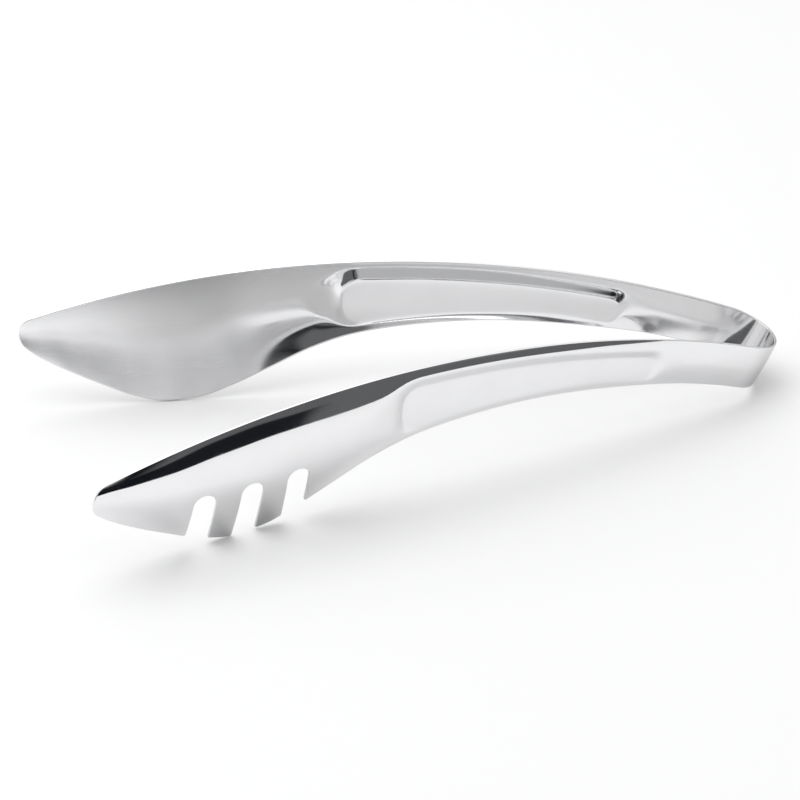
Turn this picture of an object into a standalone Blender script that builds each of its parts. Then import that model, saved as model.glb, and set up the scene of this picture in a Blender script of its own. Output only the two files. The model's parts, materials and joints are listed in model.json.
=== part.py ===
"""Serving tongs bent from one strip of stainless sheet: a spring bend, a spoon arm and a fork arm.

Frame: metres, +Z up. The origin is on the table under the middle of the tongs' length and width. The bend
is at +X, the blades point towards -X, the spoon is on the +Y side and the fork on the -Y side. The tongs
stand on the lower edges of the two blades and on the lower corner of the bend.

The strip is described flat and then rolled round the bend. On the flat strip, s runs along the top edge from
the rear-most line of the bend, v runs down from the top edge, and each point is pushed outward by its crown.
"""

import math

import bmesh
import bpy
import numpy as np
from mathutils import Matrix, Vector

MM = 0.001

# Where the axis of the rear bend meets the table
BEND_FOOT = (104.73 * MM, 0.0, -0.18 * MM)

# Sheet and bend
SHEET = 1.0 * MM
BEND_RADIUS = 13.8 * MM
BEND_LEAN = math.radians(28.0)
SPLAY = tuple(math.radians(d) for d in (7.4, 10.8, 10.1))
ARM_RUN = 226.0 * MM

# Flat strip: its top edge is one long arc
ARC_RADIUS = 375.3 * MM
ARC_CENTRE_U = -12.9 * MM
ARC_TOP = 26.5 * MM
NOSE_RADIUS = 7.1 * MM
NOSE_CENTRE_S = 271.0 * MM
NOSE_MEETS_S = 276.5 * MM

# Width of the strip along s, from the bend to the nose
WIDTHS = (
    (0, 18.4),
    (20, 16.9),
    (40, 17.3),
    (70, 19.2),
    (105, 21.5),
    (140, 25.3),
    (158, 28.2),
    (172, 32.0),
    (190, 38.6),
    (206, 43.7),
    (219, 46.0),
    (231, 45.2),
    (243, 40.8),
    (256, 31.8),
    (270, 19.5),
    (286, 0.0),
)

# Along s: crown of the section, squareness of its shoulders (2 is an arc), lean of the crown to the top edge
CROWNS = (
    (-10, 0.3, 2.0, 0.0),
    (8, 0.3, 2.0, 0.0),
    (26, 0.9, 1.5, 0.0),
    (44, 1.2, 1.5, 0.0),
    (58, 1.5, 2.2, 0.1),
    (80, 1.9, 2.4, 0.2),
    (106, 2.9, 2.4, 0.2),
    (150, 3.8, 2.4, 0.15),
    (172, 5.0, 2.3, 0.0),
    (190, 5.4, 2.1, 0.1),
    (206, 5.3, 2.0, 0.2),
    (219, 5.3, 2.0, 0.2),
    (243, 4.8, 2.0, 0.22),
    (262, 3.2, 2.0, 0.28),
    (271, 2.0, 2.0, 0.32),
    (279, 1.0, 2.0, 0.32),
    (285, 0.2, 2.0, 0.3),
)

# Finger panel: a flat-floored tray pressed into each handle, with sloping walls and squarish round ends
TRAY_FLOORS = (
    (50, -0.1),
    (90, 0.35),
    (165, 0.5),
)
TRAY_TOP = 7.0 * MM
TRAY_BOTTOM = 2.6 * MM
TRAY_REAR = 64.5 * MM
TRAY_FRONT = 153.5 * MM
TRAY_SQUARENESS = 2.7
TRAY_TILT = 0.04
TRAY_TOP_SLOPE = 0.42
TRAY_BOTTOM_SLOPE = 0.14
TRAY_END_SLOPE = 0.20
TRAY_REAR_STEP = 0.9 * MM
TRAY_REAR_REACH = 1.3 * MM
TRAY_FRONT_STEP = 1.7 * MM
TRAY_FRONT_REACH = 1.8 * MM
TRAY_FOOT_ROUND = 0.5 * MM
TRAY_TOP_LIP_ROUND = 0.6 * MM
TRAY_BOTTOM_LIP_ROUND = 0.35 * MM

# Fork notches: s and v of the round end, slant towards the nose, half width at the mouth
NOTCH_RADIUS = 4.25 * MM
NOTCH_DEPTH = 30.0 * MM
NOTCHES = (
    (241.0, 23.1, 15.5, 4.8),
    (222.8, 25.9, 12.5, 5.1),
    (204.6, 27.4, 5.0, 5.2),
)

# Flex lines, where the bend gives way to the arms
FLEX_U = 10.0 * MM
FLEX_GAP = 0.4 * MM
PIVOT_A = 15.0 * MM

# Lines across an arm, closer together over the ends of the tray: first s, spacing, number of lines
STATION_RUNS = (
    (22.0, 4.2, 8),
    (55.0, 2.2, 8),
    (73.0, 4.0, 19),
    (149.0, 2.2, 11),
    (174.0, 4.0, 22),
    (261.0, 2.6, 4),
)
COLUMNS = 16


def ease(t):
    t = min(max(t, 0.0), 1.0)
    return t * t * (3.0 - 2.0 * t)


def curve_through(x, knots, column):
    """Smooth curve through hand-set knots, with the slope at each knot shared by its two sides."""
    xs = [k[0] * MM for k in knots]
    ys = [k[column] for k in knots]
    steps = [(ys[i + 1] - ys[i]) / (xs[i + 1] - xs[i]) for i in range(len(xs) - 1)]
    slopes = [steps[0]]
    for before, after in zip(steps, steps[1:]):
        slopes.append(0.0 if before * after <= 0 else 2 * before * after / (before + after))
    slopes.append(steps[-1])
    x = min(max(x, xs[0]), xs[-1])
    i = max(k for k in range(len(xs) - 1) if xs[k] <= x)
    h = xs[i + 1] - xs[i]
    t = (x - xs[i]) / h
    lead = ys[i] * (1 + 2 * t) * (1 - t) ** 2 + ys[i + 1] * t * t * (3 - 2 * t)
    return lead + h * (slopes[i] * t * (1 - t) ** 2 - slopes[i + 1] * t * t * (1 - t))


def top_edge(s):
    over = s - NOSE_CENTRE_S
    if over <= 0:
        return 0.0
    return NOSE_RADIUS - math.sqrt(max(NOSE_RADIUS**2 - over**2, 0.0))


def bottom_edge(s):
    if s <= NOSE_MEETS_S:
        return curve_through(s, WIDTHS, 1) * MM
    over = s - NOSE_CENTRE_S
    return NOSE_RADIUS + math.sqrt(max(NOSE_RADIUS**2 - over**2, 0.0))


def width_at(s):
    return max(curve_through(s, WIDTHS, 1) * MM, 0.1 * MM)


def crown_at(s, v):
    q = min(max(2.0 * v / width_at(s) - 1.0, -1.0), 1.0)
    q = abs(q + curve_through(s, CROWNS, 3) * (1.0 - q * q))
    return curve_through(s, CROWNS, 1) * MM * (1.0 - q ** curve_through(s, CROWNS, 2))


def tray_at(s, v):
    """Height of the tray over the chord of the section: its floor, and walls that rise round the floor."""
    near_s = min(max(s, TRAY_REAR), TRAY_FRONT)
    low = width_at(near_s) - TRAY_BOTTOM
    half = (low - TRAY_TOP) / 2
    ahead, across = s - near_s, v - (low + TRAY_TOP) / 2
    ahead_part = abs(ahead) ** TRAY_SQUARENESS
    reach_part = ahead_part + abs(across) ** TRAY_SQUARENESS
    beyond = reach_part ** (1 / TRAY_SQUARENESS) - half
    beyond = (beyond + math.hypot(beyond, TRAY_FOOT_ROUND)) / 2
    end = ahead_part / (reach_part + MM**TRAY_SQUARENESS)
    below = ease(0.5 + across / (4 * MM))
    slope = TRAY_TOP_SLOPE + (TRAY_BOTTOM_SLOPE - TRAY_TOP_SLOPE) * below
    slope += (TRAY_END_SLOPE - slope) * end
    step, step_reach = (TRAY_FRONT_STEP, TRAY_FRONT_REACH) if ahead > 0 else (TRAY_REAR_STEP, TRAY_REAR_REACH)
    floor = curve_through(s, TRAY_FLOORS, 1) * MM + TRAY_TILT * (across + half)
    return floor + slope * beyond + end * step * (1.0 - math.exp(-beyond / step_reach))


def outward(s, v):
    """Outward bulge of the sheet: the crown, or the tray where it is lower, with a round lip between."""
    crown, tray = crown_at(s, v), tray_at(s, v)
    below = ease(2.0 * v / width_at(s) - 0.5)
    lip = TRAY_TOP_LIP_ROUND + (TRAY_BOTTOM_LIP_ROUND - TRAY_TOP_LIP_ROUND) * below
    return (crown + tray - math.hypot(crown - tray, lip)) / 2


def strip_point(s, v):
    """(u, A) on the flat strip: u along the strip, A up the bend axis."""
    angle = (s - ARC_CENTRE_U) / ARC_RADIUS
    u = ARC_CENTRE_U + ARC_RADIUS * math.sin(angle)
    a = ARC_TOP - ARC_RADIUS * (1.0 - math.cos(angle))
    ray = angle * ease((s - 12 * MM) / (35 * MM))
    return u - v * math.sin(ray), a - v * math.cos(ray)


def splay_at(run):
    """Angle between an arm and the mid plane, through its values at the root, middle and tip."""
    t = run / ARM_RUN
    root, middle, tip = SPLAY
    return root + (4 * middle - 3 * root - tip) * t + (2 * root - 4 * middle + 2 * tip) * t * t


QUARTER = BEND_RADIUS * (math.pi / 2 - SPLAY[0])
RUNS = np.linspace(0.0, 260.0 * MM, 521)
ANGLES = np.array([splay_at(r) for r in RUNS])
STEP = RUNS[1] - RUNS[0]
ALONG = np.concatenate(([0.0], np.cumsum((np.cos(ANGLES[1:]) + np.cos(ANGLES[:-1])) * STEP / 2)))
ASIDE = np.concatenate(([0.0], np.cumsum((np.sin(ANGLES[1:]) + np.sin(ANGLES[:-1])) * STEP / 2)))


def bend_plan(u):
    """(U, Y, direction) of the rolled strip in the plane square to the bend axis, at arc length u >= 0."""
    if u <= QUARTER:
        turn = u / BEND_RADIUS
        return (
            -BEND_RADIUS * math.cos(turn),
            BEND_RADIUS * math.sin(turn),
            math.pi / 2 - turn,
        )
    turn = QUARTER / BEND_RADIUS
    run = u - QUARTER
    across = float(np.interp(run, RUNS, ALONG)) - BEND_RADIUS * math.cos(turn)
    aside = float(np.interp(run, RUNS, ASIDE)) + BEND_RADIUS * math.sin(turn)
    return across, aside, splay_at(run)


BEND_AXIS = Vector((math.sin(BEND_LEAN), 0.0, math.cos(BEND_LEAN)))
FORWARD = Vector((-math.cos(BEND_LEAN), 0.0, math.sin(BEND_LEAN)))


def place(u, a, side, push=0.0):
    """World point of (u, A) on one side, pushed outward square to the sheet."""
    across, aside, direction = bend_plan(abs(u))
    across -= push * math.sin(direction)
    aside += push * math.cos(direction)
    return Vector(BEND_FOOT) + BEND_AXIS * a + FORWARD * across + Vector((0.0, side * aside, 0.0))


def place_sv(s, v, side):
    u, a = strip_point(s, v)
    return place(u, a, side, outward(s, v))


def s_of_u(u):
    """s at which the top edge stands above u."""
    return ARC_RADIUS * math.asin((u - ARC_CENTRE_U) / ARC_RADIUS) + ARC_CENTRE_U


def rolled_sheet(name, rows, centre):
    """Loft of rows of points, thickened to the sheet. centre becomes the object's origin."""
    bm = bmesh.new()
    grid = [[bm.verts.new(p - centre) for p in row] for row in rows]
    for lower, upper in zip(grid, grid[1:]):
        for i in range(len(lower) - 1):
            bm.faces.new((lower[i], lower[i + 1], upper[i + 1], upper[i]))
    bmesh.ops.recalc_face_normals(bm, faces=bm.faces)
    for face in bm.faces:
        face.smooth = True
    for edge in bm.edges:
        edge.smooth = not edge.is_boundary
    mesh = bpy.data.meshes.new(name)
    bm.to_mesh(mesh)
    bm.free()
    obj = bpy.data.objects.new(name, mesh)
    obj.location = centre
    collection.objects.link(obj)
    solid = obj.modifiers.new("sheet thickness", "SOLIDIFY")
    solid.thickness = SHEET
    solid.offset = 0.0
    return obj


def columns():
    """Fractions across the width, closer together at the two edges."""
    return [0.5 - 0.5 * math.cos(math.pi * (0.12 + 0.76 * i / (COLUMNS - 1))) for i in range(COLUMNS)]


def across_section(s, side):
    spread = columns()
    low, high = spread[0], spread[-1]
    top, bottom = top_edge(s), bottom_edge(s)
    return [place_sv(s, top + (bottom - top) * (f - low) / (high - low), side) for f in spread]


def stations():
    """Lines across an arm, from the flex line to the nose."""
    start = s_of_u(FLEX_U + FLEX_GAP / 2)
    marks = [start + (22 * MM - start) * i / 5 for i in range(5)]
    for first, spacing, count in STATION_RUNS:
        marks += [(first + spacing * i) * MM for i in range(count)]
    nose = NOSE_RADIUS - 0.15 * MM
    marks += [NOSE_CENTRE_S + nose * math.sin(math.pi / 2 * i / 5) for i in range(1, 6)]
    return marks


def arm(name, side, pivot):
    return rolled_sheet(name, [across_section(s, side) for s in stations()], pivot)


def bend_sheet(name):
    end = FLEX_U - FLEX_GAP / 2
    rows = []
    for i in range(-8, 9):
        u = abs(end * i / 8)
        side = 1 if i >= 0 else -1
        rows.append(across_section(s_of_u(u), side))
    return rolled_sheet(name, rows, Vector((0.0, 0.0, 0.0)))


def notch_cutter(index, s, v, slant, mouth, side):
    """A round-ended slot, wider at its mouth, standing square to the blade."""
    s, v, mouth = s * MM, v * MM, mouth * MM
    centre = place_sv(s, v, side)
    lean = math.radians(slant)
    reach = 4 * MM
    down = (place_sv(s + reach * math.sin(lean), v + reach * math.cos(lean), side) - centre).normalized()
    ahead = (place_sv(s + reach * math.cos(lean), v - reach * math.sin(lean), side) - centre).normalized()
    square = ahead.cross(down).normalized()
    ahead = down.cross(square).normalized()
    outline = [
        Vector((-NOTCH_RADIUS * math.cos(math.pi * i / 12), -NOTCH_RADIUS * math.sin(math.pi * i / 12), 0))
        for i in range(13)
    ]
    outline += [Vector((mouth, NOTCH_DEPTH, 0)), Vector((-mouth, NOTCH_DEPTH, 0))]
    bm = bmesh.new()
    face = bm.faces.new([bm.verts.new(p + Vector((0, 0, -9 * MM))) for p in outline])
    lifted = bmesh.ops.extrude_face_region(bm, geom=[face])["geom"]
    moved = [g for g in lifted if isinstance(g, bmesh.types.BMVert)]
    bmesh.ops.translate(bm, verts=moved, vec=(0, 0, 18 * MM))
    bmesh.ops.recalc_face_normals(bm, faces=bm.faces)
    mesh = bpy.data.meshes.new(f"notch_cutter_{index}")
    bm.to_mesh(mesh)
    bm.free()
    obj = bpy.data.objects.new(f"notch_cutter_{index}", mesh)
    turn = Matrix((ahead, down, square)).transposed().to_4x4()
    obj.matrix_world = Matrix.Translation(centre) @ turn
    obj.hide_render = True
    obj.display_type = "WIRE"
    cutters.objects.link(obj)
    return obj


def steel(name, shade, roughness):
    material = bpy.data.materials.new(name)
    material.use_nodes = True
    shader = material.node_tree.nodes["Principled BSDF"]
    shader.inputs["Base Color"].default_value = (*shade, 1.0)
    shader.inputs["Metallic"].default_value = 1.0
    shader.inputs["Roughness"].default_value = roughness
    return material


def pivot_on(side):
    return place(FLEX_U, PIVOT_A, side)


for old in list(bpy.data.objects):
    bpy.data.objects.remove(old, do_unlink=True)

collection = bpy.data.collections.new("serving_tongs")
bpy.context.scene.collection.children.link(collection)
cutters = bpy.data.collections.new("cutters")
bpy.context.scene.collection.children.link(cutters)

spring_bend = bend_sheet("spring_bend")
spoon_arm = arm("spoon_arm", 1, pivot_on(1))
fork_arm = arm("fork_arm", -1, pivot_on(-1))

for number, (s, v, slant, mouth) in enumerate(NOTCHES, 1):
    cut = fork_arm.modifiers.new(f"notch {number}", "BOOLEAN")
    cut.operation = "DIFFERENCE"
    cut.solver = "EXACT"
    cut.object = notch_cutter(number, s, v, slant, mouth, -1)

spring_bend.data.materials.append(steel("steel_spring_bend", (0.78, 0.78, 0.79), 0.16))
spoon_arm.data.materials.append(steel("steel_spoon_arm", (0.80, 0.80, 0.81), 0.14))
fork_arm.data.materials.append(steel("steel_fork_arm", (0.80, 0.80, 0.81), 0.14))
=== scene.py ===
"""Polished serving tongs in a plain studio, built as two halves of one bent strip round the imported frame.

On the flat strip, s runs along the top edge from the rear-most line of the bend, and v runs down from that
edge. Each point is pushed outward by the crown of its section or by the finger panel, and the strip is then
rolled round the bend.
"""

import json
import math

import bpy
import numpy as np
from mathutils import Matrix, Vector
from mathutils.geometry import delaunay_2d_cdt


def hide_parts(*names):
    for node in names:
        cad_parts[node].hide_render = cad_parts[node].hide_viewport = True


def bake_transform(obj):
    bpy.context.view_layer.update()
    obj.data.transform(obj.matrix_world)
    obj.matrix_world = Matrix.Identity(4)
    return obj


MM = 0.001
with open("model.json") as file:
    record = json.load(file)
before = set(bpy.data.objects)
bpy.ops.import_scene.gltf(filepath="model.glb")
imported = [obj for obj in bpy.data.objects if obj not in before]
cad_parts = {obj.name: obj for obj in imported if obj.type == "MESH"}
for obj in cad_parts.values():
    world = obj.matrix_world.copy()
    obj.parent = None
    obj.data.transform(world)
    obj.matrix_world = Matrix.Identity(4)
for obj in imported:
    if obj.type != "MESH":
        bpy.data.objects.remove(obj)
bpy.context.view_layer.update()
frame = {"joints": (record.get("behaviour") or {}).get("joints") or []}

# ---------------------------------------------------------------- sizes
# Sheet, rear bend, and the angle from an arm to the middle plane at its root, half way and at its tip
SHEET = 1.0 * MM
RIM_RADIUS = 0.36 * MM
BEND_RADIUS = 13.8 * MM
SPLAY = tuple(math.radians(d) for d in (7.4, 10.8, 10.1))
ARM_RUN = 226.0 * MM

# Top edge of the flat strip: one long arc that levels out on the bend and ends in the round nose. The cross
# lines of the strip stand upright on the bend and turn square to the arc over the run beyond it.
ARC_RADIUS = 375.3 * MM
ARC_CENTRE_U = -12.9 * MM
ARC_TOP = 26.5 * MM
LEVEL_TO = 12 * MM
FAN_RUN = 35 * MM
NOSE_RADIUS = 7.1 * MM
NOSE_CENTRE_S = 271.0 * MM
NOSE_TURNS = [math.radians(-90 + k * 130 / 14) for k in range(15)]

# In millimetres from here to the crowns: where the long edges meet the nose, and the spacing of their points
TOP_EDGE_END = 270.6
UNDER_EDGE_START = 274.8
EDGE_STEP = 1.2
# Distance along the strip, width of the strip
WIDTHS = (
    (0, 18.4), (20, 16.9), (40, 17.3), (70, 19.2), (105, 21.5), (140, 25.3), (158, 28.2), (172, 32.0),
    (190, 38.6), (206, 43.7), (219, 46.0), (231, 45.2), (243, 40.8), (256, 31.8), (270, 19.5), (286, 0.0),
)
# Distance along the strip, crown of the section, squareness of its shoulders, lean of the crown to the top
CROWNS = (
    (-10, 0.3, 2.0, 0), (8, 0.3, 2.0, 0), (26, 0.9, 1.5, 0), (44, 1.2, 1.5, 0),
    (58, 1.5, 2.2, 0.1), (80, 1.9, 2.4, 0.2), (106, 2.9, 2.4, 0.2), (150, 3.8, 2.4, 0.15),
    (172, 5.0, 2.3, 0), (190, 5.4, 2.1, 0.1), (206, 5.3, 2.0, 0.2), (219, 5.3, 2.0, 0.2),
    (243, 4.8, 2.0, 0.22), (262, 3.2, 2.0, 0.28), (271, 2.0, 2.0, 0.32), (279, 1.0, 2.0, 0.32),
    (285, 0.2, 2.0, 0.3),
)

# Finger panel: a flat-floored tray sunk in the handle, with sloping walls. Pairs are rear end, front end.
# The floors are distance along the strip and height, in millimetres.
TRAY_FLOORS = ((50, -0.1), (90, 0.35), (165, 0.5))
TRAY_TOP = 7.0 * MM
TRAY_BOTTOM = 2.6 * MM
TRAY_ENDS = (64.5 * MM, 153.5 * MM)
TRAY_SQUARENESS = 2.7
TRAY_TILT = 0.04
TRAY_TOP_SLOPE, TRAY_BOTTOM_SLOPE, TRAY_END_SLOPE = 0.42, 0.14, 0.20
TRAY_SLOPE_RUN = 4 * MM
TRAY_END_STEPS = (0.9 * MM, 1.7 * MM)
TRAY_END_REACHES = (1.3 * MM, 1.8 * MM)
TRAY_FOOT_ROUND = 0.5 * MM
TRAY_TOP_LIP_ROUND, TRAY_BOTTOM_LIP_ROUND = 0.6 * MM, 0.35 * MM

# Notches from the front one back: centre of the round end, slant in degrees, half width at full depth (mm)
NOTCHES = ((241.0, 23.1, 15.5, 4.8), (222.8, 25.9, 12.5, 5.1), (204.6, 27.4, 5.0, 5.2))
NOTCH_RADIUS = 4.25 * MM
NOTCH_DEPTH = 30.0 * MM
NOTCH_MOUTH_RADIUS = 0.9 * MM
NOTCH_MOUTH_CLEAR = 2.2 * MM

# Samples of the curves above, and of the plan between its two ends
CURVE_SAMPLES = 4001
PLAN_SAMPLES, PLAN_ENDS = 5361, (-6 * MM, 262 * MM)
LEAST_WIDTH = 0.1 * MM

# Mesh of the faces: a grid, held clear of the border, which is measured against in blocks of points
GRID = 0.65 * MM
GRID_LENGTH, GRID_WIDTH = 278.5 * MM, 48 * MM
GRID_CLEAR = 0.6 * GRID
BLOCK = 64
SLIVER_AREA = 1e-4 * MM ** 2

# Mesh of the outline, the seam and the rim. A rounded corner takes at most a share of the edges it joins.
OUTLINE_STEP = 0.9 * MM
SHORTEST_EDGE = 0.02 * MM
CORNER_STEPS, ROUND_END_STEPS = 6, 18
CORNER_SHARE = 0.45
SEAM_POINTS = 22
RIM_STEPS = (0, 22.5, 45, 67.5, 90)

# Step for slopes of the surface, halvings that find a crossing, and the distance that counts as none
PROBE = 0.03 * MM
HALVINGS = 40
SNAP = 1e-7

# ---------------------------------------------------------------- place in the frame
# The hinge stands on the sheet FLEX_U round the bend and PIVOT_A up it, which places the axis of the bend
FLEX_U = 10.0 * MM
PIVOT_A = 15.0 * MM
hinge = {j["name"]: j for j in frame["joints"]}["spoon_flex"]
axis = Vector(hinge["axis"]).normalized()
LEAN = math.atan2(axis.x, axis.z)
BEND_AXIS = np.array([math.sin(LEAN), 0.0, math.cos(LEAN)])
FORWARD = np.array([-math.cos(LEAN), 0.0, math.sin(LEAN)])
SIDEWAYS = np.array([0.0, 1.0, 0.0])
FOOT = (
    np.array(hinge["pos_m"])
    - PIVOT_A * BEND_AXIS
    + BEND_RADIUS * math.cos(FLEX_U / BEND_RADIUS) * FORWARD
    - np.array([0.0, BEND_RADIUS * math.sin(FLEX_U / BEND_RADIUS), 0.0])
)


# ---------------------------------------------------------------- shape of the sheet
def ease(t):
    t = np.clip(t, 0.0, 1.0)
    return t * t * (3.0 - 2.0 * t)


def fine_curve(knots, column):
    """A table of the smooth curve through the knots, read back with np.interp."""
    xs = np.array([k[0] for k in knots]) * MM
    ys = np.array([k[column] for k in knots], float)
    steps = np.diff(ys) / np.diff(xs)
    slopes = [steps[0]]
    for before, after in zip(steps, steps[1:]):
        slopes.append(0.0 if before * after <= 0 else 2 * before * after / (before + after))
    slopes.append(steps[-1])
    slopes = np.array(slopes)
    x = np.linspace(xs[0], xs[-1], CURVE_SAMPLES)
    i = np.clip(np.searchsorted(xs, x, side="right") - 1, 0, len(xs) - 2)
    h = xs[i + 1] - xs[i]
    t = (x - xs[i]) / h
    y = ys[i] * (1 + 2 * t) * (1 - t) ** 2 + ys[i + 1] * t * t * (3 - 2 * t)
    y = y + h * (slopes[i] * t * (1 - t) ** 2 - slopes[i + 1] * t * t * (1 - t))
    return x, y


WIDTH_CURVE = fine_curve(WIDTHS, 1)
CROWN_CURVE = fine_curve(CROWNS, 1)
SHOULDER_CURVE = fine_curve(CROWNS, 2)
LEAN_CURVE = fine_curve(CROWNS, 3)
FLOOR_CURVE = fine_curve(TRAY_FLOORS, 1)


def width_at(s):
    return np.interp(s, *WIDTH_CURVE) * MM


def crown_at(s, v):
    q = np.clip(2.0 * v / np.maximum(width_at(s), LEAST_WIDTH) - 1.0, -1.0, 1.0)
    q = np.abs(q + np.interp(s, *LEAN_CURVE) * (1.0 - q * q))
    return np.interp(s, *CROWN_CURVE) * MM * (1.0 - q ** np.interp(s, *SHOULDER_CURVE))


def tray_at(s, v):
    """Height of the finger panel's press tool: a flat floor in a long oval, with walls that rise round it."""
    near_s = np.clip(s, *TRAY_ENDS)
    low = width_at(near_s) - TRAY_BOTTOM
    half = (low - TRAY_TOP) / 2
    ahead, across = s - near_s, v - (low + TRAY_TOP) / 2
    ahead_part = np.abs(ahead) ** TRAY_SQUARENESS
    reach_part = ahead_part + np.abs(across) ** TRAY_SQUARENESS
    beyond = reach_part ** (1 / TRAY_SQUARENESS) - half
    beyond = (beyond + np.hypot(beyond, TRAY_FOOT_ROUND)) / 2
    end = ahead_part / (reach_part + MM ** TRAY_SQUARENESS)
    below = ease(0.5 + across / TRAY_SLOPE_RUN)
    slope = TRAY_TOP_SLOPE + (TRAY_BOTTOM_SLOPE - TRAY_TOP_SLOPE) * below
    slope = slope + (TRAY_END_SLOPE - slope) * end
    front = (ahead > 0).astype(float)
    step = TRAY_END_STEPS[0] + (TRAY_END_STEPS[1] - TRAY_END_STEPS[0]) * front
    step_reach = TRAY_END_REACHES[0] + (TRAY_END_REACHES[1] - TRAY_END_REACHES[0]) * front
    floor_height = np.interp(s, *FLOOR_CURVE) * MM + TRAY_TILT * (across + half)
    return floor_height + slope * beyond + end * step * (1.0 - np.exp(-beyond / step_reach))


def outward(s, v):
    """How far the sheet bulges outward: the crown, or the tray where it is lower, with a lip between."""
    crown, tray = crown_at(s, v), tray_at(s, v)
    below = ease(2.0 * v / np.maximum(width_at(s), LEAST_WIDTH) - 0.5)
    lip = TRAY_TOP_LIP_ROUND + (TRAY_BOTTOM_LIP_ROUND - TRAY_TOP_LIP_ROUND) * below
    return (crown + tray - np.hypot(crown - tray, lip)) / 2


def strip_point(s, v):
    """Flat position of (s, v): u round the bend and out along the arm, a up the axis of the bend."""
    angle = (s - ARC_CENTRE_U) / ARC_RADIUS
    u = ARC_CENTRE_U + ARC_RADIUS * np.sin(angle)
    a = ARC_TOP - ARC_RADIUS * (1.0 - np.cos(angle))
    level = np.clip(1 - u / LEVEL_TO, 0, 1)
    a = a - ARC_CENTRE_U / ARC_RADIUS * u * level * level
    ray = angle * ease((s - LEVEL_TO) / FAN_RUN)
    return u - v * np.sin(ray), a - v * np.cos(ray)


def plan_table():
    """The strip's line seen along the axis of the bend: round the bend, then out along the curved arm."""
    root, middle, tip = SPLAY
    u = np.linspace(*PLAN_ENDS, PLAN_SAMPLES)
    quarter = BEND_RADIUS * (math.pi / 2 - root)
    t = (u - quarter) / ARM_RUN
    leg = root + (4 * middle - 3 * root - tip) * t + (2 * root - 4 * middle + 2 * tip) * t * t
    direction = np.where(u < quarter, math.pi / 2 - u / BEND_RADIUS, leg)
    step = u[1] - u[0]
    mid = (direction[1:] + direction[:-1]) / 2
    across = np.concatenate(([0.0], np.cumsum(np.cos(mid)) * step))
    aside = np.concatenate(([0.0], np.cumsum(np.sin(mid)) * step))
    zero = int(np.argmin(np.abs(u)))
    return u, across - across[zero] - BEND_RADIUS, aside - aside[zero], direction


PLAN_U, PLAN_ACROSS, PLAN_ASIDE, PLAN_DIRECTION = plan_table()


def middle_surface(s, v):
    """Points of the sheet's middle surface on the +Y side."""
    u, a = strip_point(s, v)
    push = outward(s, v)
    direction = np.interp(u, PLAN_U, PLAN_DIRECTION)
    across = np.interp(u, PLAN_U, PLAN_ACROSS) - push * np.sin(direction)
    aside = np.interp(u, PLAN_U, PLAN_ASIDE) + push * np.cos(direction)
    return FOOT + a[:, None] * BEND_AXIS + across[:, None] * FORWARD + aside[:, None] * SIDEWAYS


def tangents(s, v):
    """Unit outward normal and the two surface tangents at (s, v)."""
    along = (middle_surface(s + PROBE, v) - middle_surface(s - PROBE, v)) / (2 * PROBE)
    down = (middle_surface(s, v + PROBE) - middle_surface(s, v - PROBE)) / (2 * PROBE)
    out = np.cross(down, along)
    out /= np.linalg.norm(out, axis=1)[:, None]
    return out, along, down


# ---------------------------------------------------------------- outline on the flat strip
def round_corners(points, corners, radius):
    """Replaces the corners of an open polyline, given by index, by small arcs."""
    result = []
    for i, p in enumerate(points):
        if i not in corners:
            result.append(p)
            continue
        e1, e2 = points[i - 1] - p, points[i + 1] - p
        l1, l2 = np.linalg.norm(e1), np.linalg.norm(e2)
        e1, e2 = e1 / l1, e2 / l2
        half = math.acos(np.clip(np.dot(e1, e2), -1, 1)) / 2
        reach = min(radius / math.tan(half), CORNER_SHARE * l1, CORNER_SHARE * l2)
        centre = p + (e1 + e2) / np.linalg.norm(e1 + e2) * (reach * math.tan(half)) / math.sin(half)
        a, b = p + e1 * reach - centre, p + e2 * reach - centre
        sweep = math.atan2(a[0] * b[1] - a[1] * b[0], np.dot(a, b))
        for k in range(CORNER_STEPS + 1):
            c, s = math.cos(sweep * k / CORNER_STEPS), math.sin(sweep * k / CORNER_STEPS)
            result.append(centre + np.array([a[0] * c - a[1] * s, a[0] * s + a[1] * c]))
    return result


def resample(points, step):
    """Adds points so that no edge of the polyline is longer than step."""
    result = [points[0]]
    for p, q in zip(points, points[1:]):
        n = max(1, int(math.ceil(np.linalg.norm(q - p) / step)))
        result += [p + (q - p) * k / n for k in range(1, n + 1)]
    return result


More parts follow.
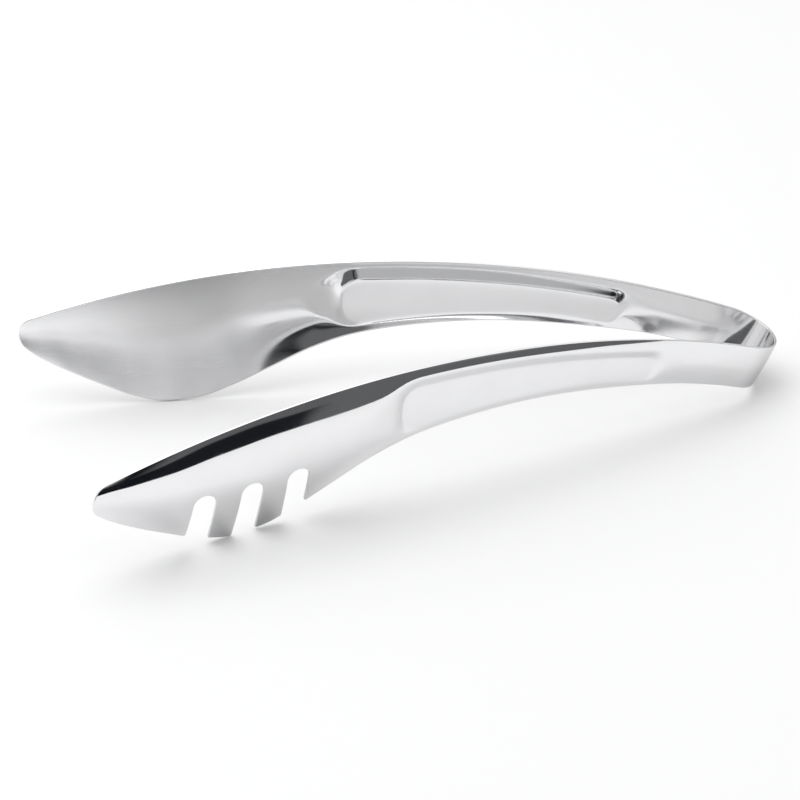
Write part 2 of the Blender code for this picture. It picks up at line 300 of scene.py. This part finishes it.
class Notch:
    """One round-ended notch: a region of the flat strip that opens downward from its centre."""

    def __init__(self, s, v, slant, mouth):
        lean = math.radians(slant)
        self.down = np.array([math.sin(lean), math.cos(lean)])
        self.ahead = np.array([math.cos(lean), -math.sin(lean)])
        self.centre = np.array([s * MM, v * MM])
        self.mouth = mouth * MM

    def holds(self, p):
        """Whether p lies in the open part, below the round end."""
        x = float(np.dot(p - self.centre, self.ahead))
        y = float(np.dot(p - self.centre, self.down))
        return y > 0 and abs(x) < NOTCH_RADIUS + (self.mouth - NOTCH_RADIUS) * y / NOTCH_DEPTH

    def crossing(self, p, q):
        """Where the edge from p to q crosses the side of the notch."""
        starts_in = self.holds(p)
        low, high = 0.0, 1.0
        for _ in range(HALVINGS):
            middle = (low + high) / 2
            if self.holds(p + (q - p) * middle) == starts_in:
                low = middle
            else:
                high = middle
        return p + (q - p) * low

    def round_end(self):
        """Points of the round end, from its front side to its rear side."""
        turns = [math.pi * k / ROUND_END_STEPS for k in range(ROUND_END_STEPS + 1)]
        ahead, down = self.ahead * NOTCH_RADIUS, self.down * NOTCH_RADIUS
        return [self.centre + ahead * math.cos(turn) - down * math.sin(turn) for turn in turns]

    def cut(self, path):
        """The path with the notch cut into it and the two corners of its mouth rounded."""
        points, corners = [], []
        for p, q in zip(path, path[1:]):
            starts_in, ends_in = self.holds(p), self.holds(q)
            if not starts_in:
                points.append(p)
            if starts_in != ends_in:
                corners.append(len(points))
                points.append(self.crossing(p, q))
            if ends_in and not starts_in:
                points += self.round_end()
        points.append(path[-1])
        return round_corners(*spread(points, corners), NOTCH_MOUTH_RADIUS)


def spread(points, corners):
    """Drops the points that crowd a corner; returns the rest and the corners' new places."""
    for i in sorted(corners, reverse=True):
        for j in (i + 2, i + 1, i - 1, i - 2):
            if not 0 < j < len(points) - 1 or j in corners:
                continue
            if np.linalg.norm(points[j] - points[i]) >= NOTCH_MOUTH_CLEAR:
                continue
            points.pop(j)
            corners = [k - 1 if k > j else k for k in corners]
            if j < i:
                i -= 1
    return points, corners


def outline(notched):
    """Open polyline (s, v): the top edge from the seam on, round the nose and back along the bottom edge."""
    top = [np.array([s, 0.0]) for s in np.arange(0, TOP_EDGE_END, EDGE_STEP) * MM]
    nose = []
    for turn in NOSE_TURNS:
        ahead, below = NOSE_RADIUS * math.cos(turn), NOSE_RADIUS * math.sin(turn)
        nose.append(np.array([NOSE_CENTRE_S + ahead, NOSE_RADIUS + below]))
    stations = np.arange(UNDER_EDGE_START, -0.1, -EDGE_STEP) * MM
    under = [np.array([s, float(width_at(s))]) for s in stations]
    under[-1][0] = 0.0
    for notch in NOTCHES if notched else ():
        under = Notch(*notch).cut(under)
    return top + nose + under


def edge_normals(points):
    """Outward unit normals of the open polyline (along the seam at its two ends) and their miter lengths."""
    p = np.array(points)
    d = np.diff(p, axis=0)
    d /= np.linalg.norm(d, axis=1)[:, None]
    n = np.stack([d[:, 1], -d[:, 0]], 1)
    vertex = np.zeros_like(p)
    vertex[1:-1] = n[1:] + n[:-1]
    vertex[0], vertex[-1] = (0.0, -1.0), (0.0, 1.0)
    vertex /= np.linalg.norm(vertex, axis=1)[:, None]
    miter = np.ones(len(p))
    miter[1:-1] = 1 / np.maximum((vertex[1:-1] * n[1:]).sum(1), 0.5)
    return vertex, miter


# ---------------------------------------------------------------- faces of the sheet
def inside_polygon(points, polygon):
    """Which points lie inside a closed polygon."""
    inside = np.zeros(len(points), bool)
    for p, q in zip(polygon, np.roll(polygon, -1, axis=0)):
        crosses = (p[1] > points[:, 1]) != (q[1] > points[:, 1])
        with np.errstate(divide="ignore", invalid="ignore"):
            at = p[0] + (points[:, 1] - p[1]) * (q[0] - p[0]) / (q[1] - p[1])
        inside ^= crosses & (points[:, 0] < at)
    return inside


def peeled(triangles, border_count):
    """The triangles without those that hang on the outer side of a border of border_count points."""
    while True:
        pairs = np.sort(triangles[:, [[0, 1], [1, 2], [2, 0]]], axis=2)
        low, high = pairs[..., 0], pairs[..., 1]
        _, which, count = np.unique(low * 10 ** 7 + high, return_inverse=True, return_counts=True)
        single = (count[which.ravel()] == 1).reshape(-1, 3)
        on_border = (high < border_count) & ((high - low == 1) | (high - low == border_count - 1))
        loose = (single & ~on_border).any(axis=1)
        if not loose.any():
            return triangles
        triangles = triangles[~loose]


def face_grid(border):
    """Staggered grid points inside the border and a little away from it."""
    columns = np.arange(GRID, GRID_LENGTH, GRID)
    rows = np.arange(GRID / 2, GRID_WIDTH, GRID)
    grid = np.array([(s, v + (GRID / 2 if i % 2 else 0)) for i, s in enumerate(columns) for v in rows])
    grid = grid[grid[:, 1] < width_at(grid[:, 0])]
    near = np.full(len(grid), np.inf)
    for first in range(0, len(border), BLOCK):
        apart = grid[:, None, :] - border[None, first:first + BLOCK, :]
        near = np.minimum(near, np.sqrt((apart ** 2).sum(2)).min(1))
    grid = grid[near > GRID_CLEAR]
    return grid[inside_polygon(grid, border)]


def flat_face(border):
    """Points and triangles that fill the border on the flat strip; the border's points come first."""
    m = len(border)
    # Worked in millimetres, which suit the tolerance
    points = [Vector(p * 1000) for p in np.concatenate([border, face_grid(border)])]
    out = delaunay_2d_cdt(points, [(i, (i + 1) % m) for i in range(m)], [], 0, 1e-6, True)
    flat = np.array([(p.x, p.y) for p in out[0]]) / 1000
    triangles = np.array([tuple(f) for f in out[2]])
    corners = flat[triangles]
    e1, e2 = corners[:, 1] - corners[:, 0], corners[:, 2] - corners[:, 0]
    sliver = np.abs(e1[:, 0] * e2[:, 1] - e1[:, 1] * e2[:, 0]) < SLIVER_AREA
    triangles = peeled(triangles[sliver | inside_polygon(corners.mean(1), border)], m)
    assert len(flat) >= m and np.abs(flat[:m] - border).max() < SNAP, "the outline moved"
    used = np.unique(triangles.ravel())
    remap = -np.ones(len(flat), int)
    remap[used] = np.arange(len(used))
    assert (remap[:m] >= 0).all()
    return flat[used], [tuple(int(remap[i]) for i in f) for f in triangles]


def rim_rings():
    """For each ring round the rim, outer face to inner face: inset, height, outline and normal shares."""
    rings = []
    for sign, order in ((1, RIM_STEPS[::-1]), (-1, RIM_STEPS)):
        for degrees in order:
            turn = math.radians(degrees)
            inset = RIM_RADIUS * (1 - math.cos(turn))
            height = sign * (SHEET / 2 - RIM_RADIUS + RIM_RADIUS * math.sin(turn))
            rings.append((inset, height, math.cos(turn), sign * math.sin(turn)))
    return rings


class Skin:
    """Points of the sheet's skin, with their normals, strip coordinates and (inside, rim) marks."""

    def __init__(self):
        self.places, self.normals, self.strip, self.marks = [], [], [], []

    def add(self, sv, height, out_share, edge=None, edge_share=0.0):
        """Appends points at a height off the middle surface; returns the index of the first."""
        first = sum(len(block) for block in self.places)
        out, along, down = tangents(sv[:, 0], sv[:, 1])
        direction = out * out_share
        if edge is not None:
            side = edge[:, :1] * along + edge[:, 1:] * down
            side -= out * (side * out).sum(1)[:, None]
            side /= np.linalg.norm(side, axis=1)[:, None]
            direction = direction + side * edge_share
        self.places.append(middle_surface(sv[:, 0], sv[:, 1]) + out * height)
        self.normals.append(direction)
        self.strip.append(sv)
        self.marks.append(np.tile((float(height <= 0), float(edge is not None)), (len(sv), 1)))
        return first


def strip_mesh(name, places, normals, strip, marks, faces):
    """A smooth mesh object with strip coordinates as its UVs and the marks as attributes."""
    mesh = bpy.data.meshes.new(name)
    mesh.from_pydata([tuple(p) for p in places], [], faces)
    mesh.update()
    probe = mesh.polygons[0]
    if np.dot(np.array(probe.normal), normals[probe.vertices[0]]) < 0:
        mesh.flip_normals()
    for poly in mesh.polygons:
        poly.use_smooth = True
    layer = mesh.uv_layers.new(name="strip")
    index = np.zeros(len(mesh.loops), int)
    mesh.loops.foreach_get("vertex_index", index)
    layer.data.foreach_set("uv", (strip[index] * 10).astype(np.float32).ravel())
    for k, mark in enumerate(("inside", "rim")):
        mesh.attributes.new(mark, "FLOAT", "POINT").data.foreach_set("value", marks[:, k].astype(np.float32))
    mesh.validate(verbose=False)
    normals = normals / np.linalg.norm(normals, axis=1)[:, None]
    mesh.normals_split_custom_set_from_vertices([tuple(n) for n in normals])
    obj = bpy.data.objects.new(name, mesh)
    bpy.context.scene.collection.objects.link(obj)
    return obj


def half_tongs(name, side, notched):
    """Half of the strip, from the seam on the rear-most line of the bend to the nose, as one closed body.

    Side is 1 for the +Y half and -1 for its mirror.
    """
    line = np.array(resample(outline(notched), OUTLINE_STEP))
    long_enough = np.linalg.norm(np.diff(line, axis=0), axis=1) > SHORTEST_EDGE
    line = line[np.concatenate(([True], long_enough))]
    n = len(line)
    edge, miter = edge_normals(line)
    inner_line = line - edge * (miter * RIM_RADIUS)[:, None]
    seam_v = np.linspace(inner_line[-1][1], inner_line[0][1], SEAM_POINTS)[1:-1]
    seam = np.stack([np.zeros_like(seam_v), seam_v], 1)
    flat, triangles = flat_face(np.concatenate([inner_line, seam]))

    skin = Skin()
    outer = skin.add(flat, SHEET / 2, 1.0)
    inner = skin.add(flat, -SHEET / 2, -1.0)
    rings = [outer]
    for inset, height, edge_share, out_share in rim_rings()[1:-1]:
        rings.append(skin.add(line - edge * (miter * inset)[:, None], height, out_share, edge, edge_share))
    rings.append(inner)
    faces = [tuple(outer + i for i in f) for f in triangles]
    faces += [tuple(inner + i for i in reversed(f)) for f in triangles]
    for a, b in zip(rings, rings[1:]):
        faces += [(a + i, b + i, b + i + 1, a + i + 1) for i in range(n - 1)]

    # The face that closes the seam has points of its own, so that its normal stays square to the sheet
    loop = list(rings)
    loop += [inner + n + len(seam_v) - 1 - i for i in range(len(seam_v))]
    loop += [ring + n - 1 for ring in reversed(rings)]
    loop += [outer + n + i for i in range(len(seam_v))]
    places, normals = np.concatenate(skin.places), np.concatenate(skin.normals)
    strip, marks = np.concatenate(skin.strip), np.concatenate(skin.marks)
    faces.append(tuple(reversed(range(len(places), len(places) + len(loop)))))
    places = np.concatenate([places, places[loop]])
    normals = np.concatenate([normals, np.tile((0.0, -1.0, 0.0), (len(loop), 1))])
    strip, marks = np.concatenate([strip, strip[loop]]), np.concatenate([marks, marks[loop]])
    places[np.abs(places[:, 1]) < SNAP, 1] = 0.0
    if side < 0:
        places[:, 1] *= -1
        normals[:, 1] *= -1
        faces = [tuple(reversed(f)) for f in faces]
    return strip_mesh(name, places, normals, strip, marks, faces)


# ---------------------------------------------------------------- materials
class Nodes:
    """Short calls for building a node tree."""

    def __init__(self, tree):
        self.tree = tree

    def node(self, kind, **inputs):
        """A node. Lower-case names are settings, the others inputs (In0 is the first) to set or to link."""
        node = self.tree.nodes.new("ShaderNode" + kind)
        for key, value in inputs.items():
            if key.islower():
                setattr(node, key, value)
        for key, value in inputs.items():
            if not key.islower():
                self.plug(value, node.inputs[int(key[2:]) if key.startswith("In") else key.replace("_", " ")])
        return node

    def plug(self, value, socket):
        if isinstance(value, bpy.types.NodeSocket):
            self.tree.links.new(value, socket)
        else:
            socket.default_value = value

    def add(self, kind, output=0, **inputs):
        return self.node(kind, **inputs).outputs[output]

    def math(self, operation, a, b, c=0.0):
        return self.add("Math", operation=operation, In0=a, In1=b, In2=c)

    def product(self, first, *others):
        for other in others:
            first = self.math("MULTIPLY", first, other)
        return first

    def mix(self, share, a, b):
        """a where share is 0, b where it is 1."""
        return self.add("Mix", In0=share, In2=a, In3=b)

    def ramp(self, value, low, high, start=0.0, end=1.0):
        """A smooth step from start at low to end at high."""
        return self.add("MapRange", interpolation_type="SMOOTHSTEP", Value=value,
                        From_Min=low, From_Max=high, To_Min=start, To_Max=end)

    def fall(self, value, low, high, end=0.0):
        """A smooth step from 1 at low to end at high."""
        return self.ramp(value, low, high, 1.0, end)


STEEL_TONE, STEEL_BLUE = 0.89, 1.01
# Scratches darken a little. The upper bowl and bend tones are painted shading: they darken the steel where
# the surroundings it mirrors lie in shade.
SCRATCH_TONE, UPPER_BOWL_SHADE_TONE, BEND_SHADE_TONE = 0.9, 0.85, 0.72
CLOUD_TONE_SPREAD = 0.05
OUTER_ROUGHNESS, INNER_ROUGHNESS, BOWL_ROUGHNESS, RIM_ROUGHNESS = 0.06, 0.08, 0.25, 0.30
ROUGHNESS_SPREAD = 0.05
SCRATCH_ROUGHNESS = 0.04
LEAST_ROUGHNESS = 0.03
POLISH_RELIEF, WAVE_RELIEF, SCRATCH_RELIEF = 0.0006, 0.012, -0.0005
# Noise scales along and across the lines, in repeats per tenth of a metre
POLISH_SCALES = (5.0, 130.0)
SCRATCH_SCALES = (1.6, 420.0)
SCRATCH_ANGLES = (24, -37, 8)
SCRATCH_CUT = (0.70, 0.76)
CLOUD_SCALE, WAVE_SCALE = 9.0, 6.0
# Parts of the inside, in tenths of a metre along or down the strip; each pair is where a soft edge begins and
# ends. The bowl's edge slants down to a given depth.
BOWL_START, BOWL_SLANT, BOWL_SLANT_DEPTH = (1.55, 1.83), -1.2, 0.20
UPPER_BOWL_START, UPPER_BOWL_END, UPPER_BOWL_FOOT = (1.90, 2.10), (2.25, 2.60), (0.20, 0.32)
BEND_END = (0.165, 0.20)


def steel(name):
    """Polished stainless steel: mirror outside, satin inside the blade, brushed round the rim, hairlines, and
    painted shading that darkens the upper bowl and the inside of the bend.
    """
    mat = bpy.data.materials.new(name)
    mat.use_nodes = True
    bsdf = mat.node_tree.nodes["Principled BSDF"]
    n = Nodes(mat.node_tree)
    strip = n.add("UVMap", uv_map="strip")
    inside = n.add("Attribute", output=2, attribute_name="inside")
    rim = n.add("Attribute", output=2, attribute_name="rim")
    along = n.add("SeparateXYZ", Vector=strip)
    down = n.add("SeparateXYZ", output=1, Vector=strip)

    def streaks(angle, scales, detail):
        """Noise drawn out into lines that run at an angle to the strip."""
        turned = n.add("Mapping", Vector=strip, Rotation=(0, 0, math.radians(angle)))
        drawn = n.add("Mapping", Vector=turned, Scale=(*scales, 1.0))
        return n.add("TexNoise", Vector=drawn, Scale=1.0, Detail=detail, Roughness=0.6)

    def varied(value, noise, spread_by):
        """The value, moved up and down by a noise that runs from 0 to 1."""
        return n.math("MULTIPLY_ADD", n.math("SUBTRACT", noise, 0.5), spread_by, value)

    polish = streaks(0, POLISH_SCALES, 3.0)
    cloud = n.add("TexNoise", Vector=strip, Scale=CLOUD_SCALE, Detail=2.0, Roughness=0.5)
    waves = n.add("TexNoise", Vector=strip, Scale=WAVE_SCALE, Detail=0.0)
    lines = [n.ramp(streaks(angle, SCRATCH_SCALES, 1.0), *SCRATCH_CUT) for angle in SCRATCH_ANGLES]
    scratches = n.math("MAXIMUM", n.math("MAXIMUM", lines[0], lines[1]), lines[2])

    slanted = n.math("MULTIPLY_ADD", n.math("MINIMUM", down, BOWL_SLANT_DEPTH), BOWL_SLANT, along)
    satin = n.mix(n.ramp(slanted, *BOWL_START), INNER_ROUGHNESS, BOWL_ROUGHNESS)
    rough = n.mix(rim, n.mix(inside, OUTER_ROUGHNESS, satin), RIM_ROUGHNESS)
    rough = varied(varied(rough, polish, ROUGHNESS_SPREAD), cloud, ROUGHNESS_SPREAD)
    rough = n.math("MULTIPLY_ADD", scratches, SCRATCH_ROUGHNESS, rough)
    n.plug(n.math("MAXIMUM", rough, LEAST_ROUGHNESS), bsdf.inputs["Roughness"])

    # Painted shading: a darker tone in the upper bowl
    upper_bowl_shade = n.product(inside, n.ramp(along, *UPPER_BOWL_START), n.fall(along, *UPPER_BOWL_END),
                           n.fall(down, *UPPER_BOWL_FOOT))
    # Painted shading: a darker tone inside the bend, where the arms face each other
    bend = n.product(inside, n.fall(along, *BEND_END))
    # Scratches darken a little; the upper bowl and the bend add painted shading
    scratches_and_painted_shade = n.product(n.mix(n.math("MULTIPLY", scratches, 0.5), 1.0, SCRATCH_TONE),
                      n.mix(upper_bowl_shade, 1.0, UPPER_BOWL_SHADE_TONE),
                      n.mix(bend, 1.0, BEND_SHADE_TONE))
    tone = varied(n.math("MULTIPLY", scratches_and_painted_shade, STEEL_TONE), cloud, CLOUD_TONE_SPREAD)
    n.plug(n.add("CombineColor", Red=tone, Green=tone, Blue=n.math("MULTIPLY", tone, STEEL_BLUE)),
           bsdf.inputs["Base Color"])
    bsdf.inputs["Metallic"].default_value = 1.0

    relief = n.math("MULTIPLY_ADD", polish, POLISH_RELIEF, n.math("MULTIPLY", waves, WAVE_RELIEF))
    relief = n.math("MULTIPLY_ADD", scratches, SCRATCH_RELIEF, relief)
    n.plug(n.add("Bump", Height=relief, Distance=1.0 * MM, Strength=1.0), bsdf.inputs["Normal"])
    return mat


# ---------------------------------------------------------------- tongs
spoon = half_tongs("spoon_half", 1, False)
fork = half_tongs("fork_half", -1, True)
for half, arm, side in ((spoon, "spoon_arm", 1), (fork, "fork_arm", -1)):
    half.data.materials.append(steel("steel_" + arm))
    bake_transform(half)
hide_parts("spoon_arm", "spring_bend")
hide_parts("fork_arm")

# ---------------------------------------------------------------- studio
# Each pair below is where a soft edge begins and ends: in metres on the floor, and for the surroundings in
# parts of a direction towards the bend (x), the back (y) and up (z)
FLOOR_X, FLOOR_Y = (-0.9, 0.8), (-0.45, 1.2)
# Floor tones: the shaded tone is painted shading near the tongs, seen only in reflections
FLOOR_TONE, FLOOR_SHADED_TONE, FLOOR_SEEN_TONE = 0.93, 0.51, 0.94
SHADED_LEFT, SHADED_RIGHT, SHADED_RIGHT_SHARE = (-0.125, -0.055), (-0.02, 0.11), 0.5
SHADED_FRONT, SHADED_BACK = (-0.055, 0.0), (0.05, 0.13)
SHADED_FRONT_STEP, SHADED_FRONT_STEP_BY = (-0.08, -0.02), -0.035

SKY_STRENGTH, SKY_SEEN_TONE = 1.04, 0.95
SKY_GREEN_OFFSET, SKY_BLUE_OFFSET = 0.0015, 0.004
FRONT_Y, LIGHT_FOOT, LIGHT_FOOT_SLANT = (-0.40, -0.12), (0.60, 0.88), 0.32
RIGHT_X, RIGHT_TONES = (0.20, 0.32), (0.003, 0.010)
FAR_RIGHT_X, FAR_RIGHT_TONE = (0.43, 0.46), 0.115
UPPER_X, UPPER_Z, UPPER_TONE = (0.20, 0.28), (0.19, 0.23), 0.105
AHEAD_X, AHEAD_TONE = (0.155, 0.175), 0.46
LEFT_X, LEFT_TONE, BAND_TONE = (-0.20, -0.12), 0.12, 0.01
BAND_START, BAND_END, BAND_SLANT = (-0.23, -0.20), (-0.135, -0.12), 1.63
BACK_RIGHT_X, BACK_RIGHT_Y, BACK_RIGHT_TONE = (0.40, 0.60), (0.40, 0.60), 0.25
BACK_LEFT_X, BACK_LEFT_Y, BACK_LEFT_TONE = (-0.25, -0.12), (0.70, 0.80), 0.48

SOFTBOX_SIZE = 0.9
SOFTBOX_ENERGY = 3.0
SOFTBOX_PLACE = (-0.25, 0.15, 0.9)


def add_floor():
    """A plain pale floor with painted shading. Reflections see it greyer between the arms; the camera sees
    one even tone.
    """
    mesh = bpy.data.meshes.new("floor")
    corners = [(FLOOR_X[i], FLOOR_Y[j], 0) for i, j in ((0, 0), (1, 0), (1, 1), (0, 1))]
    mesh.from_pydata(corners, [], [(0, 1, 2, 3)])
    floor = bpy.data.objects.new("floor", mesh)
    bpy.context.scene.collection.objects.link(floor)
    mat = bpy.data.materials.new("pale_floor")
    mat.use_nodes = True
    bsdf = mat.node_tree.nodes["Principled BSDF"]
    n = Nodes(mat.node_tree)
    x, y, _ = n.node("SeparateXYZ", Vector=n.add("NewGeometry")).outputs
    # Painted shading between the arms, for reflections only
    stepped = n.math("SUBTRACT", y, n.ramp(x, *SHADED_FRONT_STEP, SHADED_FRONT_STEP_BY, 0.0))
    shaded = n.product(n.ramp(x, *SHADED_LEFT), n.ramp(stepped, *SHADED_FRONT),
                       n.fall(y, *SHADED_BACK), n.fall(x, *SHADED_RIGHT, SHADED_RIGHT_SHARE))
    tone = n.mix(shaded, FLOOR_TONE, FLOOR_SHADED_TONE)
    tone = n.mix(n.add("LightPath"), tone, FLOOR_SEEN_TONE)
    n.plug(n.add("CombineColor", Red=tone, Green=tone, Blue=tone), bsdf.inputs["Base Color"])
    bsdf.inputs["Roughness"].default_value = 1.0
    bsdf.inputs["Specular IOR Level"].default_value = 0.0
    mesh.materials.append(mat)


def add_surroundings():
    """White surroundings with darker zones for the steel to reflect: x to the bend, y to the back, z up."""
    world = bpy.data.worlds.new("studio")
    bpy.context.scene.world = world
    world.use_nodes = True
    world.node_tree.nodes.clear()
    n = Nodes(world.node_tree)
    x, y, z = n.node("SeparateXYZ", Vector=n.add("TexCoord")).outputs

    # In front, below the light: near black, lighter towards the bend, higher up and straight ahead
    front = n.fall(y, *FRONT_Y)
    low = n.fall(n.math("MULTIPLY_ADD", x, LIGHT_FOOT_SLANT, z), *LIGHT_FOOT)
    right_tone = n.math("MAXIMUM", n.ramp(x, *RIGHT_X, *RIGHT_TONES),
                        n.ramp(x, *FAR_RIGHT_X, 0.0, FAR_RIGHT_TONE))
    upper_tone = n.product(n.ramp(z, *UPPER_Z), n.ramp(x, *UPPER_X, 0.0, UPPER_TONE))
    ahead_tone = n.ramp(x, *AHEAD_X, AHEAD_TONE, 0.0)
    front_tone = n.math("MAXIMUM", n.math("MAXIMUM", right_tone, upper_tone), ahead_tone)

    # On the left of the front: dark grey with a black band
    slanted = n.math("MULTIPLY_ADD", x, BAND_SLANT, z)
    band = n.product(n.ramp(slanted, *BAND_START), n.fall(slanted, *BAND_END))
    front_tone = n.mix(n.fall(x, *LEFT_X), front_tone, n.mix(band, LEFT_TONE, BAND_TONE))

    # At the back: grey in the left part, darker in the right part, white between
    back_left = n.product(n.ramp(y, *BACK_LEFT_Y), n.fall(x, *BACK_LEFT_X))
    back_right = n.product(n.ramp(x, *BACK_RIGHT_X), n.ramp(y, *BACK_RIGHT_Y))
    back_tone = n.mix(back_right, n.mix(back_left, 1.0, BACK_LEFT_TONE), BACK_RIGHT_TONE)

    tone = n.mix(n.product(front, low), back_tone, front_tone)
    tone = n.mix(n.add("LightPath"), tone, SKY_SEEN_TONE)
    color = n.add("CombineColor", Red=tone, Green=n.math("ADD", tone, SKY_GREEN_OFFSET),
                  Blue=n.math("ADD", tone, SKY_BLUE_OFFSET))
    n.node("OutputWorld", In0=n.add("Background", Color=color, Strength=SKY_STRENGTH))


def add_softbox():
    light = bpy.data.lights.new("softbox", "AREA")
    light.shape = "RECTANGLE"
    light.size = light.size_y = SOFTBOX_SIZE
    light.energy = SOFTBOX_ENERGY
    softbox = bpy.data.objects.new("softbox", light)
    softbox.location = SOFTBOX_PLACE
    bpy.context.scene.collection.objects.link(softbox)


add_floor()
add_surroundings()
add_softbox()
bpy.context.scene.view_settings.view_transform = "Standard"

# ---------------------------------------------------------------- camera
AZIMUTH, ELEVATION, ROLL = math.radians(-17.11), math.radians(33.29), math.radians(0.36)
TARGET = Vector(tuple(FOOT)) + Vector((-0.11281, 0.0, 0.01407))
CAMERA_DISTANCE = 1.5
LENS = 195.73
SENSOR_WIDTH = 36.0


def add_camera():
    level = math.cos(ELEVATION)
    back = Vector((math.sin(AZIMUTH) * level, -math.cos(AZIMUTH) * level, math.sin(ELEVATION)))
    right = Vector((0, 0, 1)).cross(back).normalized()
    up = back.cross(right)
    c, s = math.cos(ROLL), math.sin(ROLL)
    right, up = c * right + s * up, -s * right + c * up
    data = bpy.data.cameras.new("camera")
    data.lens = LENS
    data.sensor_width = SENSOR_WIDTH
    data.clip_start, data.clip_end = 0.1, 20
    camera = bpy.data.objects.new("camera", data)
    place = Matrix.Translation(TARGET + back * CAMERA_DISTANCE)
    camera.matrix_world = place @ Matrix((right, up, back)).transposed().to_4x4()
    bpy.context.scene.collection.objects.link(camera)
    bpy.context.scene.camera = camera


add_camera()
